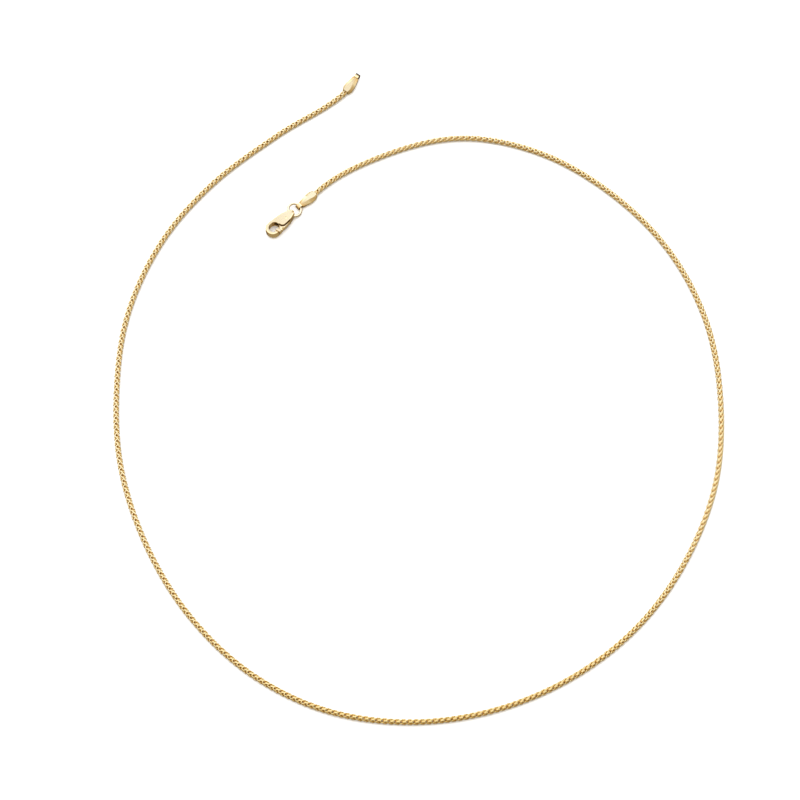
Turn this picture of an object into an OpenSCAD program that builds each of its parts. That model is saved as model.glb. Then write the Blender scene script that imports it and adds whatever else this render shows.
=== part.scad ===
// A wheat chain necklace laid open on a flat surface: the woven chain, a folded cap on
// each end, a soldered jump ring, and a lobster clasp with a sprung lever on a pin.
// Millimetres, +Z up, the surface at z = 0.

/* [Chain] */
// Length of the chain between the mouths of its two caps
chain_length = 438; // [400:1:500]
// Width of the woven chain across its flats
chain_w = 1.25; // [1:0.05:1.5]
// Share of its width left where the last links are closed down inside a cap
tip_share = 0.82; // [0.7:0.02:0.9]

/* [End caps] */
// Length of a cap from its mouth to its rolled tongue
cap_len = 4.05; // [3.4:0.05:5]
// Width of a cap at its widest
cap_w = 2.3; // [2:0.05:2.6]
// Metal left round the socket that holds the chain
cap_wall = 0.2; // [0.15:0.01:0.3]
// Depth of that socket
socket_depth = 1.8; // [1.4:0.1:2.4]
// Width of the rolled tongue
tongue_w = 1; // [0.7:0.05:1.1]
// Thickness of the sheet that the tongue is rolled from
sheet_t = 0.18; // [0.14:0.01:0.24]

/* [Jump ring] */
// Outside diameter of the jump ring
ring_d = 3.5; // [3:0.1:3.8]
// Diameter of its wire
wire_d = 0.6; // [0.5:0.05:0.7]
// Angle that the ring leans over by, in degrees
ring_lean = 14; // [0:1:18]

/* [Clasp] */
// Distance from the middle of the clasp's eye to its front
clasp_reach = 6.95; // [6.6:0.05:8]
// Width of the clasp across its claw
clasp_w = 3.35; // [3.1:0.05:3.8]
// Thickness of the clasp
clasp_t = 2.3; // [2.1:0.1:2.8]
// Half the width of the clasp's tail, round its eye
tail_r = 0.82; // [0.76:0.02:1]
// Length of the claw's opening
claw_l = 2.45; // [2.2:0.05:2.8]
// Width of the claw's opening
claw_w = 2.05; // [1.9:0.05:2.3]
// Metal between the claw's opening and the clasp's front
front_t = 0.72; // [0.5:0.02:0.9]
// Thickness of each cheek beside the lever
cheek_t = 0.42; // [0.34:0.02:0.5]
// How far the clasp's outer edges are rounded over
edge_round = 0.3; // [0.15:0.05:0.4]
// Diameter of the lever's hinge pin
pin_d = 0.6; // [0.5:0.05:0.7]
// Distance from the pin's middle to the lever's round heel
heel_r = 0.95; // [0.8:0.05:1]
// Height of the lip that stops the lever inside the claw
lip_h = 0.34; // [0.25:0.01:0.45]

/* [Clearances] */
// Gap round a piece that is held fast
fit_gap = 0.03; // [0.02:0.01:0.05]
// Gap beside and round a piece that turns
run_gap = 0.04; // [0.03:0.01:0.06]
// Least play between linked pieces
link_play = 0.06; // [0.04:0.01:0.1]

/* [Hidden] */
gold = [0.86, 0.68, 0.36];
pale_gold = [0.93, 0.79, 0.5];

// Where the middle of the chain lies, chosen by eye from the far cap's mouth to the clasp
// cap's mouth. The first and last points only steer the ends, and the length scales them all.
ROUTE = [
    [-5, 85.5],
    [-16.2, 70.25], [-31.25, 59.75], [-45.5, 48], [-56.5, 34], [-63.5, 17], [-65.5, -1],
    [-64, -19], [-58, -36.5], [-48.5, -52], [-35.5, -64.5], [-19.5, -72.5], [-1.5, -75],
    [16.5, -72.25], [33.25, -64.75], [47.25, -53.25], [57.5, -38.5], [64, -21.5], [65.5, -3],
    [63, 15], [55.5, 31.5], [43.5, 45], [28, 55], [10.5, 59], [-7, 55], [-22.85, 45.35],
    [-33, 27.5]
];
spans = len(ROUTE) - 3;
// Directions that the two caps point in, away from the chain
far_heading = 56;
clasp_cap_heading = 221;
// Direction that the clasp points in, from its eye to its front
clasp_heading = 223;
// How far round the ring the clasp's eye sits, from straight across the cap's loop
ring_turn = 17;

sides = 8;
tube_rings = 73;
corner_r = chain_w / 2 / cos(180 / sides);
tip_r = corner_r * tip_share;
// How far behind a cap's mouth the chain has its full width again
neck_len = 0.6 * chain_w;
// Share of one span of the route over which the chain rises to a cap
rise_share = 0.5;

socket_r = tip_r + fit_gap;
cap_t = 2 * (socket_r + cap_wall);

wire_r = wire_d / 2;
ring_r = ring_d / 2 - wire_r;
half_tongue = tongue_w / 2;
// How far the ring's wire curves away over half the tongue's width
sag = ring_r - sqrt(ring_r * ring_r - half_tongue * half_tongue);
slant_r = wire_r / sqrt(1 - pow(half_tongue / ring_r, 2));
tongue_bore_r = slant_r + norm([sag / 2, half_tongue * tan(ring_lean)]) + link_play;
roll_r = tongue_bore_r + sheet_t;
// Middle of the rolled tongue, measured from the cap's mouth
roll_x = cap_len + tongue_bore_r;

half_w = clasp_w / 2;
front_x = clasp_reach - half_w;
// Middle of the claw's opening
claw_x = clasp_reach - front_t - claw_l / 2;
// The clasp's waist between its tail and its claw
waist_x = 0.36 * front_x;
waist_r = 0.86 * half_w;
tunnel_r = wire_r + link_play;
eye_wall = 0.2;
pin_r = pin_d / 2;
pin_x = tunnel_r + eye_wall + run_gap + heel_r;
pin_y = 0.15 * half_w;
lever_t = clasp_t - 2 * cheek_t - 2 * run_gap;
// The lever's nose is thicker than its arm, because no cheek covers it
nose_t = clasp_t - cheek_t;
nose_r = norm([claw_x - pin_x, 0.84 * half_w - pin_y]);
lip_len = 0.9 * lip_h;
spine_y = 0.45 * claw_w;
slot_t = lever_t + 2 * run_gap;
over = 1;

function step(t) = t * t * (3 - 2 * t);
function spline(a, b, c, d, t) =
    (2 * b + (c - a) * t + (2 * a - 5 * b + 4 * c - d) * t * t + (3 * b - a - 3 * c + d) * t * t * t) / 2;
function listed(u) =
    let(i = min(floor(u), spans - 1))
    spline(ROUTE[i], ROUTE[i + 1], ROUTE[i + 2], ROUTE[i + 3], u - i);
function total(list, i = 0, so_far = 0) =
    i == len(list) ? so_far : total(list, i + 1, so_far + list[i]);
short_step = 1 / 16;
listed_length = total([for (u = [0:short_step:spans - short_step]) norm(listed(u + short_step) - listed(u))]);
function route(u) = listed(u) * chain_length / listed_length;
function height(u) =
    let(near = min(u, spans - u) / rise_share)
    chain_w / 2 + (cap_t - chain_w) / 2 * step(max(0, 1 - near));
function way(a) = [cos(a), sin(a)];
function turn_of(v) = atan2(v.y, v.x);

far_mouth = route(0);
clasp_mouth = route(spans);
far_roll = far_mouth + roll_x * way(far_heading);
clasp_roll = clasp_mouth + roll_x * way(clasp_cap_heading);

// Stations of the chain's sections: middle, height, direction of travel and corner radius.
start_in = 0.08 * chain_w;
tip_depth = socket_depth - start_in;
function station(u, flow) = [route(u), height(u), flow, corner_r];
function flow_at(u) = turn_of(route(min(u + 0.05, spans)) - route(max(u - 0.05, 0)));
neck_u = neck_len / norm(route(1) - route(0));
walk = [for (k = [0:tube_rings - 1]) neck_u + (spans - 2 * neck_u) * k / (tube_rings - 1)];
stations = concat(
    [
        [far_mouth + tip_depth * way(far_heading), cap_t / 2, far_heading + 180, tip_r],
        [far_mouth, cap_t / 2, far_heading + 180, tip_r]
    ],
    [for (u = walk) station(u, flow_at(u))],
    [
        [clasp_mouth, cap_t / 2, clasp_cap_heading, tip_r],
        [clasp_mouth + tip_depth * way(clasp_cap_heading), cap_t / 2, clasp_cap_heading, tip_r]
    ]
);
chain_points = [
    for (s = stations, k = [0:sides - 1])
        let(a = 360 * (k + 0.5) / sides, across = s[3] * cos(a), up = s[3] * sin(a))
        [s[0].x - across * sin(s[2]), s[0].y + across * cos(s[2]), s[1] + up]
];

// Middle of the whole necklace's box, which becomes the origin
far_top = far_roll.y + roll_r * sin(far_heading) + half_tongue * cos(far_heading);
xs = [for (p = chain_points) p.x];
ys = [for (p = chain_points) p.y];
middle = [(min(xs) + max(xs)) / 2, (min(ys) + far_top) / 2];

// Where the jump ring crosses the rolled tongue and the clasp's eye
ring_pitch = asin((clasp_t - cap_t) / 4 / ring_r);
ring_way = way(clasp_cap_heading);
ring_start = clasp_roll - sag / 2 * ring_way;
ring_mid = ring_start + ring_r * cos(ring_pitch) * ring_way;
// The clasp's eye, on the ring's leaning and pitched path
eye_along = ring_r * (cos(ring_turn) * cos(ring_pitch) + sin(ring_turn) * sin(ring_lean) * sin(ring_pitch));
eye_across = ring_r * sin(ring_turn) * cos(ring_lean);
eye = ring_mid + eye_along * ring_way + eye_across * way(clasp_cap_heading + 90);

module place(at, z, heading) {
    translate([at.x - middle.x, at.y - middle.y, z]) rotate([0, 0, heading]) children();
}

module chain() {
    n = len(stations);
    quads = [
        for (r = [0:n - 2], k = [0:sides - 1])
            let(m = (k + 1) % sides)
            [r * sides + k, r * sides + m, (r + 1) * sides + m, (r + 1) * sides + k]
    ];
    first = [for (k = [sides - 1:-1:0]) k];
    last = [for (k = [0:sides - 1]) (n - 1) * sides + k];
    color(gold)
        translate([-middle.x, -middle.y, 0])
            polyhedron(points = chain_points, faces = concat([first], quads, [last]));
}

// One side of a cap's outline seen from above, from its mouth to its tongue
function cap_side() = [
    [0, cap_t / 2], [0.2 * cap_len, cap_w / 2], [0.46 * cap_len, cap_w / 2],
    [cap_len, half_tongue + sheet_t]
];
// The same seen from the side, where the cap thins towards its tongue
function cap_edge() = [[0, cap_t / 2], [0.56 * cap_len, cap_t / 2], [cap_len, 0.58 * cap_t / 2]];
function mirrored(half) = concat(half, [for (i = [len(half) - 1:-1:0]) [half[i].x, -half[i].y]]);

module cap_section() {
    w = cap_w / 2;
    h = cap_t / 2;
    bevel = 0.45 * h;
    polygon([
        [w, h - bevel], [w - bevel, h], [bevel - w, h], [-w, h - bevel],
        [-w, bevel - h], [bevel - w, -h], [w - bevel, -h], [w, bevel - h]
    ]);
}

// A cylinder across the cap, on the axis that the tongue is rolled round.
module roll_pin(length, r) {
    translate([roll_x, length / 2, 0]) rotate([90, 0, 0]) cylinder(h = length, r = r, $fn = 64);
}

// A folded cap along +X, its mouth at the origin.
module end_cap() {
    difference() {
        union() {
            intersection() {
                translate([0, 0, -cap_t]) linear_extrude(2 * cap_t) polygon(mirrored(cap_side()));
                rotate([90, 0, 0])
                    translate([0, 0, -cap_w]) linear_extrude(2 * cap_w) polygon(mirrored(cap_edge()));
                rotate([90, 0, 90]) linear_extrude(cap_len) cap_section();
            }
            roll_pin(tongue_w, roll_r);
        }
        translate([-over, 0, 0])
            rotate([0, 90, 0]) cylinder(h = over + socket_depth, r = socket_r, $fn = 64);
        roll_pin(2 * cap_w, tongue_bore_r);
    }
}

module far_end_cap() {
    color(pale_gold) place(far_mouth, cap_t / 2, far_heading) end_cap();
}

module clasp_end_cap() {
    color(pale_gold) place(clasp_mouth, cap_t / 2, clasp_cap_heading) end_cap();
}

// The jump ring's path with any wire radius: the ring itself, or the room it needs.
module ring_path(r) {
    place(ring_mid, (cap_t + clasp_t) / 4, clasp_cap_heading)
        rotate([-ring_lean, -ring_pitch, 0])
            rotate_extrude($fn = 96) translate([ring_r, 0]) circle(r = r, $fn = 48);
}

module jump_ring() {
    color(gold) ring_path(wire_r);
}

// Two circles on the X axis and the straight flanks that touch both.
module tapered(xa, ra, xb, rb) {
    lean = asin((rb - ra) / (xb - xa));
    ca = ra * cos(lean);
    cb = rb * cos(lean);
    translate([xa, 0]) circle(r = ra, $fn = 64);
    translate([xb, 0]) circle(r = rb, $fn = 64);
    polygon([
        [xa - ra * sin(lean), ca], [xb - rb * sin(lean), cb],
        [xb - rb * sin(lean), -cb], [xa - ra * sin(lean), -ca]
    ]);
}

module clasp_outline() {
    tapered(0, tail_r, waist_x, waist_r);
    tapered(waist_x, waist_r, front_x, half_w);
}

module claw_opening(inset) {
    r = claw_w / 2 - inset;
    reach = (claw_l - claw_w) / 2;
    tapered(claw_x - reach, r, claw_x + reach, r);
}

// The blank that the clasp is cut from, its edges rounded over in steps.
module clasp_blank() {
    steps = [[0, 1], [0.12, 0.5], [0.45, 0.14], [1, 0]];
    hull() {
        for (s = steps, top = [0, 1]) {
            z = s[0] * edge_round;
            inset = s[1] * edge_round;
            translate([0, 0, top == 1 ? clasp_t - z - 0.01 : z]) {
                cylinder(h = 0.01, r = tail_r - inset, $fn = 40);
                translate([waist_x, 0, 0]) cylinder(h = 0.01, r = waist_r - inset, $fn = 40);
                translate([front_x, 0, 0]) cylinder(h = 0.01, r = half_w - inset, $fn = 40);
            }
        }
    }
}

// What the cheeks keep on the spine's side of their curved edge, with the lobe round the pin.
module cheek_shape() {
    lobe_r = 0.44 * half_w;
    lobe_x = 0.7 * claw_x - lobe_r;
    lobe_y = 0.2 * half_w;
    translate([lobe_x, lobe_y]) circle(r = lobe_r, $fn = 48);
    polygon([
        [0, -clasp_w], [0, 0.62 * tail_r], [0.5 * pin_x, 0.58 * half_w], [lobe_x, lobe_y + lobe_r],
        [lobe_x + lobe_r, lobe_y], [claw_x - 0.3 * claw_l, -claw_w / 4], [claw_x, -clasp_w]
    ]);
}

// Room for the lever from its rest to its open limit, in plan.
module lever_room() {
    translate([pin_x, pin_y]) circle(r = heel_r + run_gap, $fn = 64);
    intersection() {
        translate([pin_x, pin_y]) circle(r = nose_r + run_gap, $fn = 128);
        polygon([
            [pin_x, -spine_y], [claw_x, -spine_y], [clasp_reach, 0], [clasp_reach, clasp_w],
            [pin_x, clasp_w]
        ]);
    }
}

module clasp_body() {
    color(gold) difference() {
        place(eye, 0, clasp_heading) difference() {
            clasp_blank();
            translate([0, 0, -over]) linear_extrude(clasp_t + 2 * over) claw_opening(0);
            translate([0, 0, (clasp_t - slot_t) / 2]) linear_extrude(slot_t) lever_room();
            translate([0, 0, -over]) linear_extrude(clasp_t + 2 * over) difference() {
                lever_room();
                cheek_shape();
            }
            translate([pin_x, pin_y, -over])
                cylinder(h = clasp_t + 2 * over, r = pin_r + fit_gap, $fn = 48);
        }
        ring_path(tunnel_r);
    }
}

// The strip inside the claw that the lever's lip lies in.
module lip_zone() {
    translate([claw_x - claw_l / 2, claw_w / 2 - lip_h]) square([claw_l, claw_w]);
}

// The lever's arm, from its heel to the arc that its nose moves on.
module lever_arm() {
    difference() {
        intersection() {
            clasp_outline();
            translate([pin_x, pin_y]) circle(r = nose_r, $fn = 128);
            union() {
                translate([pin_x, pin_y]) circle(r = heel_r, $fn = 64);
                polygon([
                    [pin_x, pin_y - 0.62 * heel_r], [claw_x - claw_l / 2, -0.04 * claw_w],
                    [clasp_reach, 0], [clasp_reach, clasp_w], [pin_x, clasp_w]
                ]);
            }
        }
        difference() {
            claw_opening(0);
            lip_zone();
        }
    }
}

module lever_lip() {
    intersection() {
        claw_opening(run_gap);
        lip_zone();
        translate([pin_x, pin_y]) circle(r = nose_r + lip_len, $fn = 128);
        translate([pin_x + 0.8 * nose_r, 0]) square([clasp_reach, clasp_w]);
    }
}

module clasp_lever() {
    color(pale_gold) place(eye, clasp_t / 2, clasp_heading) difference() {
        union() {
            translate([0, 0, -lever_t / 2]) linear_extrude(lever_t) {
                lever_arm();
                lever_lip();
            }
            translate([0, 0, -nose_t / 2]) linear_extrude(nose_t) difference() {
                lever_arm();
                translate([pin_x, pin_y]) circle(r = 0.82 * nose_r, $fn = 128);
            }
        }
        translate([pin_x, pin_y, -clasp_t]) cylinder(h = 2 * clasp_t, r = pin_r + run_gap, $fn = 48);
    }
}

module clasp_pin() {
    color(gold) place(eye, 0, clasp_heading)
        translate([pin_x, pin_y, 0]) cylinder(h = clasp_t, r = pin_r, $fn = 48);
}

chain();
far_end_cap();
clasp_end_cap();
jump_ring();
clasp_body();
clasp_lever();
clasp_pin();
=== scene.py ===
# %% [markdown]
# # A wheat chain necklace
# A fine chain of yellow gold lies open on a white surface. It is woven from two families of
# folded wire links, and each end runs into a small cap of folded sheet. A soldered ring joins
# one cap to a lobster clasp, whose lever turns on a pin and springs shut.
#
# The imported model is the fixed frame: it says where everything is. The pieces below dress it
# and ride on its bodies, so they move as the real ones do.

import math

import bmesh
import bpy
import numpy as np
from mathutils import Matrix, Vector


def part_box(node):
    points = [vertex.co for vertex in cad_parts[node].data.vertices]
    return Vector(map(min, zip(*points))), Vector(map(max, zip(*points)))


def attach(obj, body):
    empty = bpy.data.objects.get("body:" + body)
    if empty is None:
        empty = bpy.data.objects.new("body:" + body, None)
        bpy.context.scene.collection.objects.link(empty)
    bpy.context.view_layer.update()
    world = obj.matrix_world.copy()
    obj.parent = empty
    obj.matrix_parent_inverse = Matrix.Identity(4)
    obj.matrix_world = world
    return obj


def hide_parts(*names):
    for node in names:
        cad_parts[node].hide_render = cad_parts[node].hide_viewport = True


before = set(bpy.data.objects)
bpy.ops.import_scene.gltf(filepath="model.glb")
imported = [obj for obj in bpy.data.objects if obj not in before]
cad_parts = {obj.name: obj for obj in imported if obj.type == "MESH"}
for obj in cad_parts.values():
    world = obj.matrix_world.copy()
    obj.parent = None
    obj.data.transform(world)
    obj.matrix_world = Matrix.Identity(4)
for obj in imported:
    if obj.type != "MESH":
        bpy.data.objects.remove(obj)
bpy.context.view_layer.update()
MM = 0.001

# %% [markdown]
# ## The camera
# The photo was taken from steeply above with a long lens, so the chain is nearly as thick at
# the top of the picture as at the bottom. A wide lens close by would fit the same object in
# the frame, but it would swell the near side. The long lens and the distance are set first,
# because every later choice is judged through them.

# %% Camera
look_at = Vector((-4.0, -2.65, 0.0)) * MM
camera_distance = 713.9 * MM
camera_elevation = math.radians(70)
camera_lens_mm = 148.05


def in_scene(name, data):
    """A new object that holds this data, linked into the scene."""
    made = bpy.data.objects.new(name, data)
    bpy.context.scene.collection.objects.link(made)
    return made


camera_data = bpy.data.cameras.new("photo_camera")
camera_data.lens = camera_lens_mm
camera_data.sensor_width = 36
camera_data.clip_start = 0.01
camera = in_scene("photo_camera", camera_data)
camera.location = look_at + camera_distance * Vector(
    (0, -math.cos(camera_elevation), math.sin(camera_elevation))
)
camera.rotation_euler = (math.pi / 2 - camera_elevation, 0, 0)
bpy.context.scene.camera = camera
print("camera at", [round(v, 4) for v in camera.location])

# %% [markdown]
# ## The route of the chain
# A real chain lies wherever it was put down, so its route is a free curve. A spline through a
# few points gives it. The points were chosen, and they are the ones that the solids were
# built on. The frame's own chain tells where the route's origin went, so the links land where
# the solid chain lies.

# %% Route
ROUTE = np.array([
    [-5, 85.5],
    [-16.2, 70.25], [-31.25, 59.75], [-45.5, 48], [-56.5, 34], [-63.5, 17], [-65.5, -1],
    [-64, -19], [-58, -36.5], [-48.5, -52], [-35.5, -64.5], [-19.5, -72.5], [-1.5, -75],
    [16.5, -72.25], [33.25, -64.75], [47.25, -53.25], [57.5, -38.5], [64, -21.5], [65.5, -3],
    [63, 15], [55.5, 31.5], [43.5, 45], [28, 55], [10.5, 59], [-7, 55], [-22.85, 45.35],
    [-33, 27.5],
])
chain_length, chain_w = 438, 1.25
far_heading, clasp_cap_heading, clasp_heading, ring_turn = 56, 221, 223, 17


def way(degrees):
    """The unit step in that direction on the surface."""
    return np.array([math.cos(math.radians(degrees)), math.sin(math.radians(degrees))])


def spline(a, b, c, d, t):
    """A smooth stretch from b to c, which a and d only steer."""
    bend, swing = 2 * a - 5 * b + 4 * c - d, 3 * b - a - 3 * c + d
    return (2 * b + (c - a) * t + bend * t**2 + swing * t**3) / 2


steps_per_span = 160
route_line = np.array([
    spline(*ROUTE[i:i + 4], k / steps_per_span)
    for i in range(len(ROUTE) - 3) for k in range(steps_per_span)
] + [ROUTE[-2]])
route_line *= chain_length / np.linalg.norm(np.diff(route_line, axis=0), axis=1).sum()
tube_low, tube_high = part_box("chain")
route_shift = np.array([
    (tube_low.x + tube_high.x) / 2 / MM - (route_line[:, 0].min() + route_line[:, 0].max()) / 2,
    tube_low.y / MM + chain_w / 2 - route_line[:, 1].min(),
])
route_line += route_shift
far_mouth, clasp_mouth = route_line[0], route_line[-1]
print("chain between its caps:", chain_length, "mm, moved by", route_shift.round(3))

# %% [markdown]
# ## One link, drawn tight
# A wheat chain is a loop-in-loop chain. Each link is a closed oval of wire, folded in two over
# the links before it, so that its two ears point forward. The next link of its family goes
# through both ears, and a second family, turned by a quarter, sits between. Every link is also
# twisted. The ears of one family lean to the left and those of the other to the right, and
# where the two meet they make the slanted grains of a wheat ear.
#
# Drawing such a link by hand always leaves wires that cut into each other. So a rough link is
# drawn, and then the chain is pulled: the wire shortens like a rubber band, wires that touch
# push each other away, and the draw plate keeps everything inside a square with its corners
# taken off. A twist pushes one arm of an ear to its side early and the other arm late. Only
# half a link has to move, because the other half is the same after a half turn about the
# chain's middle, and the second family is the mirror image of the first. A little overlap is
# left at the tightest bends, and the last line of the second cell prints how much.

# %% A rough half link
link_pitch = 1.32
link_wire_r = 0.12
half_points = 47
half_turn, other_side = np.array([1, -1, -1]), np.array([1, 1, -1])


def reach_along(points):
    """How far along a line each of its points is."""
    return np.r_[0, np.cumsum(np.linalg.norm(np.diff(points, axis=0), axis=1))]


def even_steps(points, count):
    """The same line with its points evenly spaced."""
    reach = reach_along(points)
    at = np.linspace(0, reach[-1], count)
    return np.stack([np.interp(at, reach, points[:, k]) for k in range(points.shape[1])], 1)


# From the fold in the middle of the chain, out, forward, and in again to the ear's tip. The
# first number runs along the chain, the second out from its middle, and the third sideways.
rough_arm = np.array([
    [0.00, 0.00, 0.12], [0.00, 0.15, 0.12], [0.02, 0.32, 0.13], [0.15, 0.42, 0.16],
    [0.50, 0.42, 0.24], [0.90, 0.34, 0.34], [1.30, 0.22, 0.36], [1.50, 0.17, 0.29],
    [1.62, 0.15, 0.14], [1.66, 0.15, 0.00],
])
rough_arm = even_steps(rough_arm, 24)
way_back = (rough_arm * other_side)[::-1]
rough_half = even_steps(np.concatenate([rough_arm, way_back[1:]]), half_points)


def whole_link(half):
    """The closed link that one half of it stands for."""
    return np.concatenate([half[:-1], (half * half_turn)[:-1]])


print("rough link:", len(whole_link(rough_half)), "points")

# %% Pull the chain tight
pull_rounds, even_out_every, push_share = 1500, 5, 0.45
first_tension, last_tension, loosen_after = 0.1, 0.03, 0.7
twist_push, early_arm, late_arm, arm_reach = 0.03, 0.35, 1.1, 0.35
plate_side = chain_w / 2 - link_wire_r
plate_corner = 0.72
# Wire that is nearer than this along the same link is only its own bend, and doesn't push.
own_bend = 3.2 * link_wire_r
tiny = 1e-9


def other_family(points):
    """The same points as the second family has them: up and sideways change places."""
    return points[:, [0, 2, 1]]


def neighbours_of(link):
    """The links that one link can touch: two of its own family and four of the other."""
    return np.concatenate(
        [link + [link_pitch * k, 0, 0] for k in (1, -1)]
        + [other_family(link) + [link_pitch * k, 0, 0] for k in (-1.5, -0.5, 0.5, 1.5)]
    )


def pushed_apart(points, wires, allowed=1):
    """The step that takes each point out of the wires that it is in."""
    gap = points[:, None] - wires[None]
    distance = np.linalg.norm(gap, axis=2)
    depth = np.clip(2 * link_wire_r - distance, 0, None) * allowed
    step = (gap / np.maximum(distance, tiny)[..., None] * depth[..., None]).sum(1)
    return step / np.maximum(depth.sum(1), tiny)[:, None] * depth.max(1)[:, None]


def leaned(forward, middle):
    """How far the twist pushes points that are this far forward."""
    return twist_push * np.clip(1 - np.abs(forward - middle) / arm_reach, 0, 1)


half = rough_half.copy()
link_count = len(whole_link(half))
along = np.abs(np.arange(half_points)[:, None] - np.arange(link_count)[None])
along = np.minimum(along, link_count - along)
numbered = np.arange(half_points)
first_arm = (numbered > 4) & (numbered <= half_points // 2)
second_arm = (numbered > half_points // 2) & (numbered < half_points - 5)
for pull in range(pull_rounds):
    link = whole_link(half)
    wire_step = np.linalg.norm(half[1] - half[0])
    away = pushed_apart(half, neighbours_of(link))
    own = pushed_apart(half, link, along * wire_step > own_bend)
    ends = np.concatenate([[half[-2] * half_turn], half, [half[1] * half_turn]])
    shorten = (ends[:-2] + ends[2:]) / 2 - half
    tension = first_tension if pull < loosen_after * pull_rounds else last_tension
    half = half + push_share * (away + own) + tension * shorten
    forward = half[:, 0] - half[0, 0]
    half[:, 2] += leaned(forward, early_arm) * first_arm
    half[:, 2] -= leaned(forward, late_arm) * second_arm
    half[:, 1] = np.minimum(half[:, 1], plate_side)
    half[:, 2] = np.clip(half[:, 2], -plate_side, plate_side)
    over = np.clip(half[:, 1] + np.abs(half[:, 2]) - plate_corner, 0, None) / 2
    half[:, 1] -= over
    half[:, 2] -= over * np.sign(half[:, 2])
    half[0, 1] = half[-1, 1] = 0
    fold = (half[0] + half[-1] * other_side) / 2
    half[0], half[-1] = fold, fold * other_side
    if pull % even_out_every == 0:
        half = even_steps(half, half_points)
half[:, 0] -= half[0, 0]
link_line = whole_link(half)
# Passes in and back out take the kinks out of the bends and hardly thin the link.
smoothings, pass_in, pass_out = 4, 0.5, -0.53
for share in (pass_in, pass_out) * smoothings:
    middles = (np.roll(link_line, 1, 0) + np.roll(link_line, -1, 0)) / 2
    link_line = link_line + share * (middles - link_line)


def closed_steps(line, count):
    """A closed line with that many evenly spaced points."""
    return even_steps(np.concatenate([line, line[:1]]), count + 1)[:-1]


# How deep neighbouring wires still press into each other in a straight chain
measured = closed_steps(link_line, 400)
closest = np.linalg.norm(measured[:, None] - neighbours_of(measured)[None], axis=2).min()
wire_length = np.linalg.norm(np.diff(link_line, axis=0, append=link_line[:1]), axis=1).sum()
print("link:", wire_length.round(2), "mm of wire")
print("deepest overlap:", (2 * link_wire_r - closest).round(3), "mm")

# %% [markdown]
# ## A round wire along a line
# Blender's curve bevel could thicken each link, but the chain has over six hundred of them.
# The wire's surface is worked out once for one link as plain arrays, and it is bent along the
# route afterwards. The rings are turned as little as possible from one to the next, and the
# small turn that is left over when the loop closes is shared out over all of them.

# %% Wire surface
def wire_rings(line, radius, sides):
    """The points of a closed wire's surface: one ring of points at each point of its line."""
    count = len(line)
    flow = np.roll(line, -1, 0) - np.roll(line, 1, 0)
    flow /= np.linalg.norm(flow, axis=1)[:, None]
    normals = np.zeros((count, 3))
    start = np.cross(flow[0], [0.3, 0.2, 0.93])
    normals[0] = start / np.linalg.norm(start)
    for i in range(1, count):
        n = normals[i - 1] - flow[i] * (normals[i - 1] @ flow[i])
        normals[i] = n / np.linalg.norm(n)
    last = normals[-1] - flow[0] * (normals[-1] @ flow[0])
    left_over = math.atan2(np.cross(last, normals[0]) @ flow[0], last @ normals[0])
    angle = np.arange(sides) * 2 * math.pi / sides
    turn = (angle[None] + (left_over * np.arange(count) / count)[:, None])[..., None]
    sideways = np.cross(flow, normals)
    outwards = np.cos(turn) * normals[:, None] + np.sin(turn) * sideways[:, None]
    reach = np.broadcast_to(np.asarray(radius, float), (count,))[:, None, None]
    return line[:, None] + outwards * reach


def ring_faces(count, sides, closed=True):
    """The quads that join a row of rings."""
    i, j = np.meshgrid(np.arange(count if closed else count - 1), np.arange(sides), indexing="ij")
    i, j = i.ravel(), j.ravel()
    i2, j2 = (i + 1) % count, (j + 1) % sides
    return np.stack([i * sides + j, i2 * sides + j, i2 * sides + j2, i * sides + j2], 1)


def make_piece(name, points_mm, faces):
    """A smooth mesh object from points in millimetres in the frame's own axes."""
    mesh = bpy.data.meshes.new(name)
    mesh.from_pydata((points_mm * MM).tolist(), [], faces.tolist())
    mesh.validate()
    mesh.polygons.foreach_set("use_smooth", np.full(len(mesh.polygons), True))
    return in_scene(name, mesh)


def triangles(piece):
    """How many triangles a piece has."""
    return sum(len(p.vertices) - 2 for p in piece.data.polygons)


link_rings, link_sides = 64, 8
ring_middles = closed_steps(link_line, link_rings)
link_surface = wire_rings(ring_middles, link_wire_r, link_sides).reshape(-1, 3)
link_faces = ring_faces(link_rings, link_sides)
print("one link:", len(link_surface), "points,", 2 * len(link_faces), "triangles")

# %% [markdown]
# ## How the chain lies and rolls
# The chain is nearly square, so it rests on a side in some places and on an edge in others,
# and between them it rolls slowly. Its middle is a little higher where it stands on an edge.
# The lowest point of a rolled link gives that height, and so the chain lies on the surface
# everywhere and never sinks into it.

# %% Lie of the chain
cap_t, socket_depth = 1.569, 1.8
path_step, bend_blur, roll_blur = 0.1, 9, 301
rise_length, neck_length, neck_share = 9, 0.6 * chain_w, 0.8
# Share of the path, and how many degrees the chain is rolled over there
rolls = np.array([
    (0.0, 140), (0.12, 145), (0.19, 150), (0.26, 157), (0.33, 165), (0.4, 160),
    (0.47, 180), (0.55, 180), (0.6, 135), (0.65, 90), (0.7, 84), (0.75, 140),
    (0.82, 130), (0.88, 115), (0.94, 180), (1.0, 150),
])


def eased(t):
    """0 to 1 with a soft start and a soft end."""
    return t * t * (3 - 2 * t)


def lowest_point(turn, out, up):
    """How deep a link reaches below its middle once it is rolled over."""
    return -(link_surface[:, out] * math.sin(turn) + link_surface[:, up] * math.cos(turn)).min()


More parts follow.
